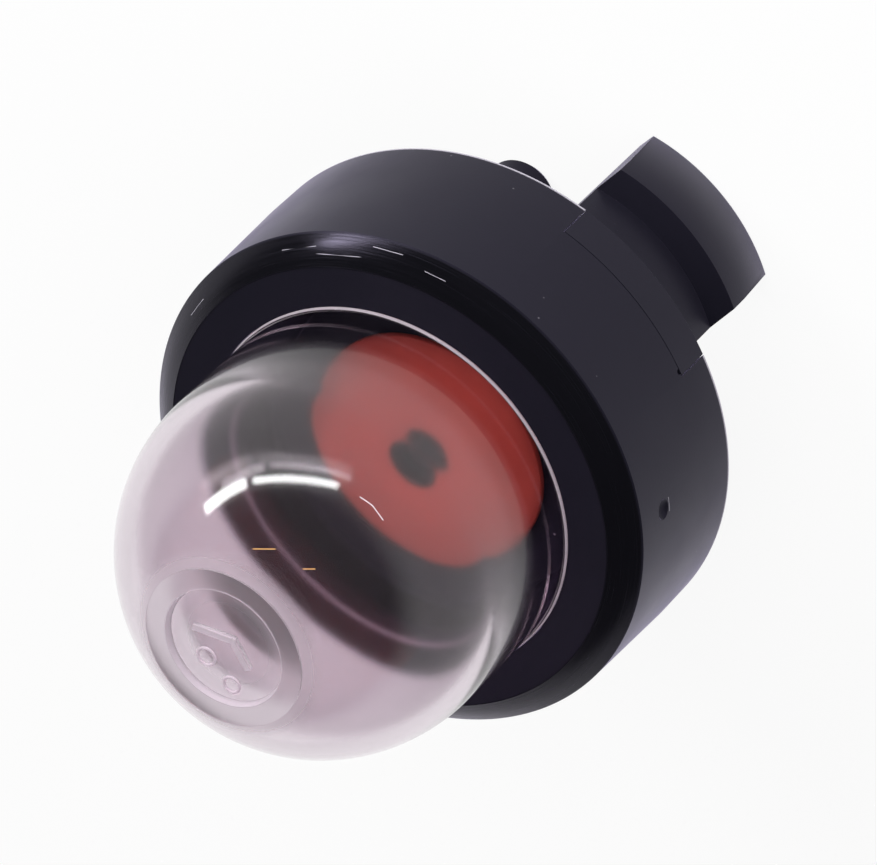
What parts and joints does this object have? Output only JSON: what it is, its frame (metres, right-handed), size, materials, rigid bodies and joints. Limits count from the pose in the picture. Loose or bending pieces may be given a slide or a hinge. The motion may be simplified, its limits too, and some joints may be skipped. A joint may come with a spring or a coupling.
{
  "type": "primer bulb",
  "caption": "Snap-in fuel primer bulb: clear dome clamped by a black ring on a base with valve, hose nipples and snap arms.",
  "frame": {"origin": "on the axis of the bulb, in the plane of the back face that seats on the housing", "axes": "+Z along the axis towards the tip of the dome, +X through one snap arm, +Y through the inlet nipple"},
  "size_m": [0.0296, 0.0296, 0.0398],
  "materials": {
    "black_plastic": "satin moulded side, polished chamfer",
    "clear_plastic": "clear at the neck, milky on the dome",
    "red_rubber": "matt moulded rubber"
  },
  "bodies": {
    "root": {"bulb": "clear_plastic", "cap_ring": "black_plastic", "base": "black_plastic", "valve_plate": "black_plastic", "combination_valve": "red_rubber"}
  },
  "joints": []
}
